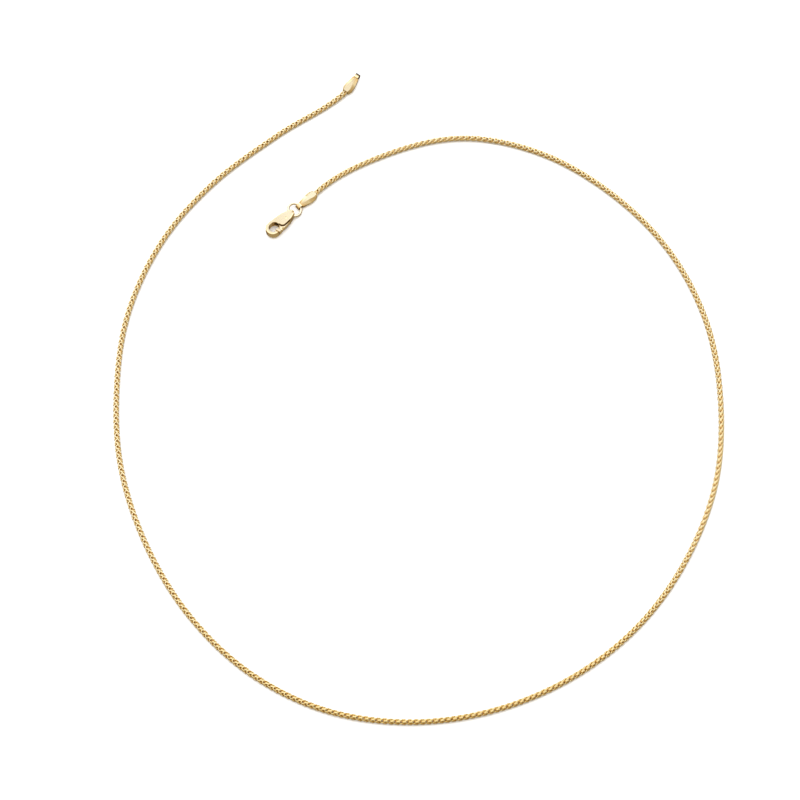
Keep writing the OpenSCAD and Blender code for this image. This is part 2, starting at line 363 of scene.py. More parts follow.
into_socket = np.linspace(path_step, socket_depth, 18)[:, None]
path = np.concatenate([
    far_mouth + way(far_heading) * into_socket[::-1], route_line,
    clasp_mouth + way(clasp_cap_heading) * into_socket,
])
path_length = reach_along(path)[-1]
path_s = np.linspace(0, path_length, int(path_length / path_step))
path = even_steps(path, len(path_s))
padded = np.concatenate([
    path[0] + (path[0] - path[1]) * np.arange(bend_blur // 2, 0, -1)[:, None], path,
    path[-1] + (path[-1] - path[-2]) * np.arange(1, bend_blur // 2 + 1)[:, None],
])
even_weights = np.ones(bend_blur) / bend_blur
path = np.stack([np.convolve(padded[:, k], even_weights, "valid") for k in range(2)], 1)
flow = np.gradient(path, axis=0)
heading = np.unwrap(np.arctan2(flow[:, 1], flow[:, 0]))

roll = np.radians(np.interp(path_s / path_length, rolls[:, 0], rolls[:, 1]))
soft_weights = np.hanning(roll_blur) / np.hanning(roll_blur).sum()
roll = np.convolve(np.pad(roll, roll_blur // 2, "edge"), soft_weights, "valid")
test_rolls = np.radians(np.arange(0, 181, 5))
lowest = [max(lowest_point(turn, 1, 2), lowest_point(turn, 2, 1)) for turn in test_rolls]
rest_height = np.interp(roll % math.pi, test_rolls, lowest)

from_end = np.minimum(path_s, path_length - path_s) - socket_depth
rise = eased(1 - np.clip(from_end / rise_length, 0, 1))
path_z = rest_height + (cap_t / 2 - rest_height) * rise
squeeze = neck_share + (1 - neck_share) * eased(np.clip(from_end / neck_length, 0, 1))
print("path", round(path_length, 1), "mm")
print("rest height", rest_height.min().round(3), "to", rest_height.max().round(3), "mm")

# %% [markdown]
# ## Weaving the links along the route
# Each link starts one pitch after the last of its family, and the second family half a pitch
# later and mirrored. Every point of a link asks the route for its own place, so the links bend
# with the curve as loose ones would. A mirrored link has its faces turned about, or it would
# be inside out. The chain is made in four stretches, because one mesh of all the links would
# be too heavy to handle.

# %% Links
stretches = 4
link_reach = link_surface[:, 0].max()
first_start = 0.15
link_total = int((path_length - link_reach - 2 * first_start) / (link_pitch / 2)) + 1
starts = first_start + np.arange(link_total) * link_pitch / 2


def woven(numbers):
    """The surface points of these links, in millimetres in the frame's own axes."""
    local = np.stack([
        link_surface if n % 2 == 0 else other_family(link_surface) for n in numbers
    ])
    s = starts[numbers][:, None] + local[..., 0]
    along_path = (path[:, 0], path[:, 1], path_z, heading, roll, squeeze)
    x, y, z, h, a, k = (np.interp(s, path_s, values) for values in along_path)
    out, up = local[..., 1] * k, local[..., 2] * k
    side = out * np.cos(a) - up * np.sin(a)
    lift = out * np.sin(a) + up * np.cos(a)
    return np.stack([x - side * np.sin(h), y + side * np.cos(h), z + lift], -1)


chain_pieces = []
for part in range(stretches):
    numbers = np.arange(link_total * part // stretches, link_total * (part + 1) // stretches)
    points = woven(numbers)
    faces = np.concatenate([
        (link_faces if n % 2 == 0 else link_faces[:, ::-1]) + k * link_rings * link_sides
        for k, n in enumerate(numbers)
    ])
    piece = make_piece(f"chain_links_{part + 1}", points.reshape(-1, 3), faces)
    # How deep each point lies in the weave, which the chain's gold turns into painted shade
    depth = np.linalg.norm(link_surface[:, 1:], axis=1) / (chain_w / 2)
    weave_shade = piece.data.attributes.new("outside", "FLOAT", "POINT")
    weave_shade.data.foreach_set("value", np.tile(depth, len(numbers)).astype(np.float32))
    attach(piece, "necklace")
    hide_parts("chain")
    chain_pieces.append(piece)
    print(piece.name, len(numbers), "links,", triangles(piece), "triangles")

# %% [markdown]
# ## Blanks for solid pieces
# The clasp is cast and then filed and pierced, and the quickest way to the same shape is to
# work as the bench does: start from a blank and take material away. Blender's exact boolean
# does that. The cutting is done in millimetres at the origin, where numbers are large enough
# to be exact, and the finished piece is moved to its place at the end.

# %% Blanks
def solid(name, points, faces):
    """A closed mesh object in millimetres, for cutting."""
    mesh = bpy.data.meshes.new(name)
    mesh.from_pydata([tuple(p) for p in points], [], [tuple(f) for f in faces])
    work = bmesh.new()
    work.from_mesh(mesh)
    bmesh.ops.recalc_face_normals(work, faces=work.faces)
    work.to_mesh(mesh)
    work.free()
    return in_scene(name, mesh)


def prism(outline, low, high):
    """An outline pushed up from one height to another."""
    n = len(outline)
    points = [(x, y, low) for x, y in outline] + [(x, y, high) for x, y in outline]
    walls = [(k, (k + 1) % n, n + (k + 1) % n, n + k) for k in range(n)]
    return solid("blank", points, [tuple(range(n))[::-1], tuple(range(n, 2 * n))] + walls)


def circle(x, y, r, count=96):
    """The points of a circle."""
    return [
        (x + r * math.cos(2 * math.pi * k / count), y + r * math.sin(2 * math.pi * k / count))
        for k in range(count)
    ]


def hull_of(points):
    """The tight skin round some points."""
    work = bmesh.new()
    for p in points:
        work.verts.new(p)
    found = bmesh.ops.convex_hull(work, input=work.verts)
    inner = set(found["geom_interior"] + found["geom_unused"])
    spare = [v for v in inner if isinstance(v, bmesh.types.BMVert)]
    bmesh.ops.delete(work, geom=spare, context="VERTS")
    mesh = bpy.data.meshes.new("hull")
    work.to_mesh(mesh)
    work.free()
    return in_scene("hull", mesh)


print("blanks can be made")

# %% [markdown]
# ## Cutting, casting and placing
# One tool at a time is taken off a blank, joined on, or kept where both are. After the last cut
# a fine remesh with a little smoothing gives the soft edges of a tumbled casting. Then painted
# shade is marked in the hollows, and the piece is moved to its place.

# %% Bench work
def bake(piece):
    """Turns a piece's modifiers into its mesh."""
    bpy.context.view_layer.update()
    shown = piece.evaluated_get(bpy.context.evaluated_depsgraph_get())
    mesh = bpy.data.meshes.new_from_object(shown)
    piece.modifiers.clear()
    piece.data = mesh
    return piece


def carve(piece, tool, how="DIFFERENCE"):
    """Cuts a tool out of a piece, joins it on, or keeps only what both share."""
    cut = piece.modifiers.new("cut", "BOOLEAN")
    cut.operation = how
    cut.solver = "EXACT"
    cut.object = tool
    bake(piece)
    bpy.data.objects.remove(tool)
    return piece


def cast_finish(piece, grain, rounds, keep):
    """Remeshes a piece finely, smooths it as tumbling does, and thins its mesh to a share."""
    remesh = piece.modifiers.new("remesh", "REMESH")
    remesh.mode = "VOXEL"
    remesh.voxel_size = grain
    soften = piece.modifiers.new("soften", "SMOOTH")
    soften.factor = 0.5
    soften.iterations = rounds
    thin = piece.modifiers.new("thin", "DECIMATE")
    thin.ratio = keep
    return bake(piece)


def points_of(piece):
    """A piece's points as an array."""
    return np.array([v.co for v in piece.data.vertices])


def distance_to(line, points):
    """How far each point is from a row of points, seen from above."""
    return np.linalg.norm(points[:, None, :2] - np.asarray(line)[None], axis=2).min(1)


def near(distance, width):
    """1 at no distance, falling softly to 0 past that width."""
    return np.exp(-(distance / width) ** 2)


def paint_hollow_shade(piece, *marks):
    """Stores each point's painted shade, for the gold to read: 0.5 is brown, 1 is black."""
    hollow = piece.data.attributes.new("hollow", "FLOAT", "POINT")
    darkest = np.clip(np.max(marks, axis=0), 0, 1)
    hollow.data.foreach_set("value", darkest.astype(np.float32))


def put(piece, name, body, node, place):
    """Moves a finished piece from the bench to its place, and hands it to its body."""
    piece.name = name
    piece.data.name = name
    piece.data.transform(Matrix.Scale(MM, 4) @ place)
    piece.data.polygons.foreach_set("use_smooth", np.full(len(piece.data.polygons), True))
    piece.data.update()
    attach(piece, body)
    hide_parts(node)
    print(name, "rides on", body, "with", triangles(piece), "triangles")
    return piece


def bench_place(at, z, degrees):
    """Where a piece that was made at the origin along X goes."""
    return Matrix.Translation((at[0], at[1], z)) @ Matrix.Rotation(math.radians(degrees), 4, "Z")


print("bench ready")

# %% [markdown]
# ## The end caps
# Each cap is pressed from sheet and folded round the last links, so it is a little box with
# bevelled edges: narrow at its mouth, wide at its shoulders, and thinner towards its end. A
# tongue of the same sheet is rolled into a loop there. The box is lofted through five
# eight-cornered sections, with a real socket in its mouth. The tongue is a flat strip bent
# round a circle, which is what the bench does too. A fine bevel catches the light on the
# folds, which no sharp edge of real sheet is without.

# %% End caps
cap_len, cap_w, half_tongue, sheet_t = 4.05, 2.3, 0.5, 0.18
socket_r, tongue_bore_r = 0.585, 0.512
roll_x = cap_len + tongue_bore_r
cap_sections = [
    # along, half width, half height, width and depth of the folded edge
    (0.0, cap_t / 2, cap_t / 2, 0.26, 0.36),
    (0.2 * cap_len, cap_w / 2, cap_t / 2, 0.5, 0.54),
    (0.46 * cap_len, cap_w / 2, cap_t / 2, 0.7, 0.52),
    (0.58 * cap_len, 1.05, 0.97 * cap_t / 2, 0.7, 0.46),
    (cap_len, half_tongue + sheet_t, 0.58 * cap_t / 2, 0.6, 0.13),
]
points_per_side, tongue_steps, fold_bevel = 4, 56, 0.05
# The rolled tongue ends this many degrees round from its far side, above and below.
tongue_end = 168


def eight_sided(x, w, h, a, b):
    """A box section with folded edges, with a few points along each of its eight sides."""
    corners = [
        (w, b - h), (w, h - b), (w - a, h), (a - w, h),
        (-w, h - b), (-w, b - h), (a - w, -h), (w - a, -h),
    ]
    ring = []
    for (y1, z1), (y2, z2) in zip(corners, corners[1:] + corners[:1]):
        for k in range(points_per_side):
            t = k / points_per_side
            ring.append((x, y1 + (y2 - y1) * t, z1 + (z2 - z1) * t))
    return ring


def loft(rings):
    """Joins rings of points into one closed skin, capped at both ends."""
    n = len(rings[0])
    points = [p for ring in rings for p in ring]
    faces = [tuple(f) for f in ring_faces(len(rings), n, closed=False)]
    faces.append(tuple(range(n))[::-1])
    faces.append(tuple((len(rings) - 1) * n + k for k in range(n)))
    return solid("loft", points, faces)


def end_cap(name, node, mouth, heading_degrees, far_side_shadow, even_darkening):
    """A folded cap with its socket and rolled tongue, with painted shade and shadow on the loop.
    """
    box = loft([eight_sided(*s) for s in cap_sections])
    bore = prism(circle(0, 0, socket_r, 64), -1, socket_depth)
    bore.data.transform(Matrix.Rotation(math.pi / 2, 4, "Y"))
    carve(box, bore)
    middle_r = tongue_bore_r + sheet_t / 2
    outer_r, inner_r = middle_r + sheet_t / 2, middle_r - sheet_t / 2
    strip_corners = [
        (half_tongue, outer_r), (-half_tongue, outer_r),
        (-half_tongue, inner_r), (half_tongue, inner_r),
    ]
    strip = []
    for k in range(tongue_steps + 1):
        a = math.radians(tongue_end - 2 * tongue_end * k / tongue_steps)
        strip.append([(roll_x + r * math.cos(a), y, r * math.sin(a)) for y, r in strip_corners])
    tongue = loft(strip)
    hole = prism(circle(0, 0, tongue_bore_r, 64), -1, 1)
    hole.data.transform(Matrix.Translation((roll_x, 0, 0)) @ Matrix.Rotation(math.pi / 2, 4, "X"))
    carve(box, hole)
    carve(box, tongue, "UNION")
    edge = box.modifiers.new("edge", "BEVEL")
    edge.width = fold_bevel
    edge.segments = 3
    edge.limit_method = "ANGLE"
    edge.angle_limit = math.radians(24)
    bake(box)
    at = points_of(box)
    round_roll = np.hypot(at[:, 0] - roll_x, at[:, 2])
    angle = np.degrees(np.arctan2(at[:, 2], at[:, 0] - roll_x))
    on_roll = round_roll < tongue_bore_r + sheet_t + 0.03
    paint_hollow_shade(
        box,
        # painted shade inside the loop and where the tongue meets the box, and a painted shadow
        # along the loop's far side
        0.7 * (on_roll & (round_roll < tongue_bore_r + 0.06)),
        0.55 * on_roll * near(np.maximum(0, 150 - np.abs(angle)), 18),
        1.2 * far_side_shadow * on_roll * np.clip((92 - angle) / 22, 0, 1) * (angle > -20),
        # an even darkening over the whole cap, as given
        np.full(len(at), even_darkening),
    )
    cap_place = bench_place(mouth, cap_t / 2, heading_degrees)
    piece = put(box, name, "necklace", node, cap_place)
    piece.data.set_sharp_from_angle(angle=math.radians(35))
    return piece


# The numbers give the strength of the painted shadow along the loop's far side and of the even
# darkening.
far_cap = end_cap("far_cap_folded", "far_end_cap", far_mouth, far_heading, 1.0, 0.12)
clasp_cap = end_cap("clasp_cap_folded", "clasp_end_cap", clasp_mouth, clasp_cap_heading, 0.3, 0.0)

# %% [markdown]
# ## The jump ring
# A jump ring is cut from a coil of wire and soldered shut. It is a torus with one small fault:
# at the joint the solder stands a hair proud. It leans over and runs uphill from the cap's loop
# into the clasp's eye, which sits a little way round it.

# %% Jump ring
clasp_t, wire_r, ring_r, ring_lean = 2.3, 0.3, 1.45, math.radians(14)
sag = ring_r - math.sqrt(ring_r**2 - half_tongue**2)
ring_pitch = math.asin((clasp_t - cap_t) / 4 / ring_r)
clasp_roll = clasp_mouth + roll_x * way(clasp_cap_heading)
ring_middle = clasp_roll + (ring_r * math.cos(ring_pitch) - sag / 2) * way(clasp_cap_heading)
turn = math.radians(ring_turn)
eye_along = (
    math.cos(turn) * math.cos(ring_pitch)
    + math.sin(turn) * math.sin(ring_lean) * math.sin(ring_pitch)
)
eye_across = math.sin(turn) * math.cos(ring_lean)
to_eye = eye_along * way(clasp_cap_heading) + eye_across * way(clasp_cap_heading + 90)
eye = ring_middle + ring_r * to_eye
ring_steps, ring_sides, solder_at = 128, 28, math.radians(97)
ring_place = (
    bench_place(ring_middle, (cap_t + clasp_t) / 4, clasp_cap_heading)
    @ Matrix.Rotation(-ring_pitch, 4, "Y")
    @ Matrix.Rotation(-ring_lean, 4, "X")
)


def ring_solid(radius, solder=0.0):
    """A torus on the ring's own path, with a swelling and a nick where it was soldered."""
    a = np.arange(ring_steps) * 2 * math.pi / ring_steps
    line = np.stack([ring_r * np.cos(a), ring_r * np.sin(a), 0 * a], 1)
    off = (a - solder_at + math.pi) % (2 * math.pi) - math.pi
    swelling, nick = np.exp(-(off / 0.06) ** 2), 1.6 * np.exp(-((off - 0.1) / 0.025) ** 2)
    surface = wire_rings(line, radius * (1 + solder * (swelling - nick)), ring_sides)
    return solid("ring", surface.reshape(-1, 3), ring_faces(ring_steps, ring_sides))


ring_torus = ring_solid(wire_r, solder=0.035)
ring_at = points_of(ring_torus)
# Painted shade where the ring comes out of the cap's loop
cap_side = near(np.hypot(ring_at[:, 0] + ring_r, ring_at[:, 1]) - half_tongue, 0.12)
paint_hollow_shade(ring_torus, 0.35 * cap_side)
jump_ring = put(ring_torus, "jump_ring_soldered", "necklace", "jump_ring", ring_place)

# %% [markdown]
# ## The clasp's body
# A lobster clasp is one casting. Seen from above it is a teardrop with a round claw opening,
# and its front stays open towards the lever as a hook. Two thin cheeks cover the lever's
# root. The blank is a hull with rounded edges. The claw, the slot, the window in the cheeks,
# the pin's hole and the ring's way through the eye are cut from it. A fine remesh and some
# smoothing then turn the crisp cuts into the soft edges of a polished casting, which a bevel
# can't do on so many crossing curves.

# %% Clasp sizes
clasp_reach, clasp_w, tail_r = 6.95, 3.35, 0.82
claw_l, claw_w, front_t, cheek_t, edge_round = 2.45, 2.05, 0.72, 0.42, 0.36
pin_r, heel_r, lip_h, run_gap = 0.3, 0.95, 0.34, 0.04
half_w = clasp_w / 2
front_x = clasp_reach - half_w
claw_x = clasp_reach - front_t - claw_l / 2
waist_x, waist_r = 0.36 * front_x, 0.86 * half_w
tunnel_r = wire_r + 0.06
pin_x, pin_y = tunnel_r + 0.2 + run_gap + heel_r, 0.15 * half_w
lever_t = clasp_t - 2 * cheek_t - 2 * run_gap
nose_t = clasp_t - cheek_t
nose_r = math.hypot(claw_x - pin_x, 0.84 * half_w - pin_y)
spine_y = 0.45 * claw_w
clasp_place = bench_place(eye, 0, clasp_heading)
high = clasp_t + 1
# The round lobe that the cheek ends in, beside the claw
lobe_r = 0.44 * half_w
lobe_x, lobe_y = 0.7 * claw_x - lobe_r, 0.2 * half_w


def outline_points(inset=0.0, count=160):
    """The clasp's outline: a smooth skin round its tail, waist and front circles."""
    discs = [(0, tail_r), (waist_x, waist_r), (0.72 * front_x, 0.965 * half_w), (front_x, half_w)]
    found = []
    for k in range(count):
        a = 2 * math.pi * k / count
        x, r = max(discs, key=lambda d: d[0] * math.cos(a) + d[1])
        found.append((x + (r - inset) * math.cos(a), (r - inset) * math.sin(a)))
    return found


def stadium(inset=0.0):
    """The claw's opening: two half circles with straight sides between them."""
    r, reach = claw_w / 2 - inset, (claw_l - claw_w) / 2
    front_half = np.linspace(-math.pi / 2, math.pi / 2, 48)
    back_half = np.linspace(math.pi / 2, 1.5 * math.pi, 48)
    return [
        (claw_x + side * reach + r * math.cos(a), r * math.sin(a))
        for side, half_circle in ((1, front_half), (-1, back_half)) for a in half_circle
    ]


print("claw at", round(claw_x, 2), "pin at", (round(pin_x, 2), round(pin_y, 2)))
print("nose radius", round(nose_r, 2))

# %% Clasp body
rounding = [(1 - math.cos(a), 1 - math.sin(a)) for a in np.linspace(0, math.pi / 2, 7)]
skin = []
for up, inwards in rounding:
    for x, y in outline_points(inwards * edge_round):
        skin += [(x, y, up * edge_round), (x, y, clasp_t - up * edge_round)]
body = hull_of(skin)
carve(body, prism(stadium(), -1, high))


def lever_room(low, top):
    """The space that the lever sweeps."""
    sector = prism(circle(pin_x, pin_y, nose_r + run_gap, 160), low, top)
    fence = [
        (pin_x, -spine_y), (claw_x, -spine_y), (clasp_reach, 0),
        (clasp_reach, clasp_w), (pin_x, clasp_w),
    ]
    carve(sector, prism(fence, low - 1, top + 1), "INTERSECT")
    return carve(sector, prism(circle(pin_x, pin_y, heel_r + run_gap), low, top), "UNION")


slot_half = lever_t / 2 + run_gap
carve(body, lever_room(clasp_t / 2 - slot_half, clasp_t / 2 + slot_half))
quarter_turn = np.linspace(0, math.pi / 2, 25)
lobe = [(lobe_x + lobe_r * math.sin(a), lobe_y + lobe_r * math.cos(a)) for a in quarter_turn]
cheek_edge = [
    (0, 0.62 * tail_r), (0.5 * pin_x, 0.58 * half_w), (0.55 * lobe_x, lobe_y + lobe_r - 0.02),
    *lobe, (claw_x - 0.3 * claw_l, -claw_w / 4),
]
cheek = prism(
    [(claw_x, -clasp_w), (-1, -clasp_w), (-1, 0.5 * tail_r)] + cheek_edge, -2, high + 1
)
carve(body, carve(lever_room(-1, high), cheek))
carve(body, prism(circle(pin_x, pin_y, pin_r + 0.01, 48), -1, high))
tunnel = ring_solid(tunnel_r)
tunnel.data.transform(clasp_place.inverted() @ ring_place)
carve(body, tunnel)
cast_finish(body, 0.032, 6, 0.5)

claw_rim = np.array(stadium())
edge_line = even_steps(np.array(cheek_edge), 160)
at = points_of(body)
under_top = np.clip((clasp_t - 0.06 - at[:, 2]) / 0.12, 0, 1)
on_walls = under_top * np.clip((at[:, 2] - 0.05) / 0.1, 0, 1)
from_pin = np.hypot(at[:, 0] - pin_x, at[:, 1] - pin_y)
paint_hollow_shade(
    body,
    # painted shade round the claw and along the cheek, and a breath of it over the front
    0.62 * near(distance_to(claw_rim, at), 0.1) * on_walls,
    0.85 * near(distance_to(edge_line, at), 0.2) * on_walls,
    0.08 * np.clip((at[:, 0] - 0.8) / 2.5, 0, 1),
    # painted shade in a spot by the tail, and where the hook meets the nose
    0.85 * near(np.hypot(at[:, 0] + 0.52, at[:, 1] - 0.13), 0.2) * (at[:, 2] > 0.9),
    0.75 * near(from_pin - nose_r - 0.08, 0.12) * (at[:, 1] > 0.85),
)
# Filing leaves the flat faces a little domed.
flatter = 1 - 0.05 * (at[:, 1] / half_w) ** 2 - 0.14 * ((at[:, 0] - 2) / 4.5) ** 2
at[:, 2] = clasp_t / 2 + (at[:, 2] - clasp_t / 2) * flatter
body.data.vertices.foreach_set("co", at.ravel())
clasp_body = put(body, "clasp_body_cast", "necklace", "clasp_body", clasp_place)

# %% [markdown]
# ## The lever
# The lever is a small casting too. Its round heel turns on the pin, its arm fills the gap in
# the clasp's side, its thicker nose meets the hook, and a lip behind the nose stops it from
# swinging out. It is cut from the same outline as the body, so the two run on smoothly. Its back
# is rounded off by filing: it falls away to the outside and along the cheek's edge, and the
# groove that this leaves, with painted shade along it, draws the dark curve across the clasp.

# %% Clasp lever
def lever_arm(low, top):
    """The lever seen from above, between two heights."""
    arm = prism(outline_points(0.02), low, top)
    carve(arm, prism(circle(pin_x, pin_y, nose_r, 160), low - 1, top + 1), "INTERSECT")
    wedge = prism([
        (pin_x, pin_y - 0.62 * heel_r), (claw_x - claw_l / 2, -0.04 * claw_w), (clasp_reach, 0),
        (clasp_reach, clasp_w), (pin_x, clasp_w)
    ], low - 1, top + 1)
    carve(wedge, prism(circle(pin_x, pin_y, heel_r), low - 1, top + 1), "UNION")
    carve(arm, wedge, "INTERSECT")
    claw = prism(stadium(), low - 2, top + 2)
    strip = [
        (claw_x - claw_l, claw_w / 2 - lip_h), (claw_x + claw_l, claw_w / 2 - lip_h),
        (claw_x + claw_l, claw_w), (claw_x - claw_l, claw_w)
    ]
    carve(claw, prism(strip, low - 3, top + 3))
    return carve(arm, claw)


lever_low, lever_top = clasp_t / 2 - lever_t / 2, clasp_t / 2 + lever_t / 2
nose_low, nose_top = clasp_t / 2 - nose_t / 2, clasp_t / 2 + nose_t / 2
lever = lever_arm(lever_low, lever_top)
lip = prism(stadium(run_gap), lever_low, lever_top)
lip_box = [
    (pin_x + 0.8 * nose_r, claw_w / 2 - lip_h), (clasp_reach, claw_w / 2 - lip_h),
    (clasp_reach, claw_w), (pin_x + 0.8 * nose_r, claw_w)
]
carve(lip, prism(lip_box, -1, high), "INTERSECT")
carve(lip, prism(circle(pin_x, pin_y, nose_r + 0.9 * lip_h, 160), -1, high), "INTERSECT")
nose = lever_arm(nose_low, nose_top)
carve(nose, prism(circle(pin_x, pin_y, 0.82 * nose_r, 160), -1, high))
carve(lever, nose, "UNION")
carve(lever, lip, "UNION")
carve(lever, prism(circle(pin_x, pin_y, pin_r + run_gap, 48), -1, high))
cast_finish(lever, 0.03, 5, 0.6)

at = points_of(lever)
from_pin = np.hypot(at[:, 0] - pin_x, at[:, 1] - pin_y)
from_edge = distance_to(edge_line, at)
from_outline = distance_to(outline_points(count=400), at)
on_nose = np.clip((from_pin - 0.84 * nose_r) / 0.15, 0, 1)
paint_hollow_shade(
    lever,
    # painted shade along the cheek, a breath of it everywhere, and round the claw
    0.84 * near(from_edge, 0.21) * (on_nose < 1),
    np.full(len(at), 0.03),
    0.62 * near(distance_to(claw_rim, at), 0.1) * (np.abs(at[:, 2] - clasp_t / 2) < 0.9),
    # painted shade behind the nose's step, and where the nose meets the hook
    0.7 * near(from_pin - 0.81 * nose_r, 0.07),
    0.75 * near(from_pin - nose_r, 0.14) * (at[:, 1] > 0.85),
)
# How far the back is filed away: towards the outline, and in the groove along the cheek
fall = 0.34 * np.clip(1 - from_outline / 0.6, 0, 1) ** 1.5 * (1 - 0.55 * on_nose)
fall += 0.16 * near(from_edge, 0.14) * (1 - on_nose)
height = at[:, 2] - clasp_t / 2
at[:, 2] -= np.sign(height) * fall * np.clip((np.abs(height) - 0.25) / 0.4, 0, 1)
lever.data.vertices.foreach_set("co", at.ravel())
clasp_lever = put(lever, "clasp_lever_cast", "lever", "clasp_lever", clasp_place)

# %% [markdown]
# ## The hinge pin
# The pin is a bit of wire pushed through both cheeks and filed nearly flush, so all that shows
# of it is a small domed disc on each side. It is turned as a lathe would turn it, from one
# profile.

# %% Pin
pin_dome = 0.05
pin_profile = [(0.0, 0.0)] + [
    (pin_r * math.sin(a), pin_dome * (1 - math.cos(a))) for a in np.linspace(0.25, math.pi / 2, 6)
]
pin_profile += [(r, clasp_t - z) for r, z in reversed(pin_profile)]
pin_sides = 40
pin_points = []
for r, z in pin_profile[1:-1]:
    pin_points += [(pin_x + r * c, pin_y + r * s, z) for c, s in circle(0, 0, 1, pin_sides)]
rows = len(pin_profile) - 2
pin_faces = [tuple(f) for f in ring_faces(rows, pin_sides, closed=False)]
pin_faces += [tuple(range(pin_sides)), tuple((rows - 1) * pin_sides + k for k in range(pin_sides))]
pin_blank = solid("pin", pin_points, pin_faces)
paint_hollow_shade(pin_blank, np.zeros(len(pin_points)))
pin = put(pin_blank, "clasp_pin_turned", "necklace", "clasp_pin", clasp_place)
pin.data.set_sharp_from_angle(angle=math.radians(40))

# %% [markdown]
# ## Shader maths in plain Python
# Node trees are easier to read as formulas. This small class wraps a socket, so that adding or
# multiplying two of them adds the Math node that does it. Any other node comes from its one
# method, which takes the node's type, its settings and its inputs.

# %% Shader helper
class Flow:
    """A value that runs through a material's nodes."""

    def __init__(self, tree, socket=None):
        self.tree, self.socket = tree, socket

    def node(self, kind, settings=None, inputs=None, output=0):
        """Adds a node of that type and returns one of its outputs."""
        made = self.tree.nodes.new(kind)
        for name, value in (settings or {}).items():
            if name == "stops":
                ramp = made.color_ramp
                while len(ramp.elements) < len(value):
                    ramp.elements.new(0.5)
                for element, (place, colour) in zip(ramp.elements, value):
                    element.position, element.color = place, colour
            else:
                setattr(made, name, value)
        for key, value in (inputs or {}).items():
            if isinstance(value, Flow):
                self.tree.links.new(value.socket, made.inputs[key])
            else:
                made.inputs[key].default_value = value
        return Flow(self.tree, made.outputs[output])

    def maths(self, operation, a, b):
        return self.node("ShaderNodeMath", {"operation": operation}, {0: a, 1: b})

    def __add__(self, other):
        return self.maths("ADD", self, other)

    def __sub__(self, other):
        return self.maths("SUBTRACT", self, other)

    def __rsub__(self, other):
        return self.maths("SUBTRACT", other, self)

    def __mul__(self, other):
        return self.maths("MULTIPLY", self, other)

    __radd__, __rmul__ = __add__, __mul__

    def tinted(self, colour):
        """This colour seen through another one."""
        settings = {"data_type": "RGBA", "blend_type": "MULTIPLY"}
        return self.node("ShaderNodeMix", settings, {0: 1.0, 6: self, 7: colour}, 2)

    def noise(self, place, scale, detail):
        """Soft random values at a place."""
        inputs = {"Vector": place, "Scale": scale, "Detail": detail}
        return self.node("ShaderNodeTexNoise", inputs=inputs)

    def mixed(self, low, high):
        """A colour between two, as this value goes from 0 to 1."""
        return self.node("ShaderNodeMix", {"data_type": "RGBA"}, {0: self, 6: low, 7: high}, 2)


print("shader helper ready")

# %% [markdown]
# ## Polished yellow gold
# Gold has no diffuse colour at all: what one sees is its tinted reflection. So its looks come
# from the metal's colour, from how sharp the reflection is, and from what there is to reflect.
# Real polish is never even. Soft clouds of a slightly redder or greener alloy, faint hairline
# scratches and a dull bloom in the corners break it up. The woven wire also gets painted shade:
# a darker, warmer tone deep between the links. The near side of the loop is a shade deeper, as
# the photo shows it. The cast and folded pieces get brown to black painted shade in the hollows
# that were marked on them.

# %% Gold materials
cloud_scale, grain_scale = 380.0, 5200.0
hair_turn, hair_scale = (0.3, 0.2, 0.7), (900.0, 14000.0, 9000.0)
# The near side's deeper shade starts at this Y and is full one fade further on.
shade_start, shade_fade, near_shade = -36 * MM, 40 * MM, (0.92, 0.86, 0.68, 1)
# The painted shade's colours: none, then brown, then near black
painted_shade_stops = [
    (0.0, (1, 1, 1, 1)), (0.5, (0.62, 0.46, 0.26, 1)), (1.0, (0.08, 0.075, 0.08, 1)),
]


def gold(name, bright, deep, dull, scratch, woven_wire=False):
    """A polished gold with clouded colour, hairline scratches and a dull bloom."""
    material = bpy.data.materials.new(name)
    material.use_nodes = True
    tree = material.node_tree
    shader = tree.nodes["Principled BSDF"]
    start = Flow(tree)
    place = start.node("ShaderNodeTexCoord", output="Object")
    clouds = start.noise(place, cloud_scale, 3.0)
    grain = start.noise(place, grain_scale, 2.0)
    stretched = start.node("ShaderNodeMapping", inputs={
        "Vector": place, "Rotation": hair_turn, "Scale": hair_scale,
    })
    hairs = start.noise(stretched, 1.0, 2.0)
    tone = clouds * 0.7 + grain * 0.3
    blur = clouds * 0.1 + hairs * 0.08 + (dull - 0.09)
    if woven_wire:
        # Painted shade: wire deep in the weave takes the deep colour, and wire at its outside the
        # bright one.
        outside = start.node("ShaderNodeAttribute", {"attribute_name": "outside"}, output="Fac")
        colour = (tone * 0.3 + outside * 2.8 - 1.85).mixed(deep, bright)
        y = start.node("ShaderNodeSeparateXYZ", inputs={"Vector": place}, output=1)
        nearer = y * (-1 / shade_fade) + shade_start / shade_fade
        colour = nearer.mixed(colour, colour.tinted(near_shade))
    else:
        # Painted shade: the marked hollows turn the colour brown to black and dull it.
        hollow = start.node("ShaderNodeAttribute", {"attribute_name": "hollow"}, output="Fac")
        painted_shade_colour = start.node("ShaderNodeValToRGB", {"stops": painted_shade_stops}, {0: hollow})
        colour = tone.mixed(deep, bright).tinted(painted_shade_colour)
        blur = blur + hollow * 0.2
    tree.links.new(colour.socket, shader.inputs["Base Color"])
    tree.links.new(blur.socket, shader.inputs["Roughness"])
    relief = start.node("ShaderNodeBump", inputs={
        "Height": hairs * 0.6 + grain * 0.4, "Strength": scratch, "Distance": 0.02 * MM,
    })
    tree.links.new(relief.socket, shader.inputs["Normal"])
    shader.inputs["Metallic"].default_value = 1.0
    return material


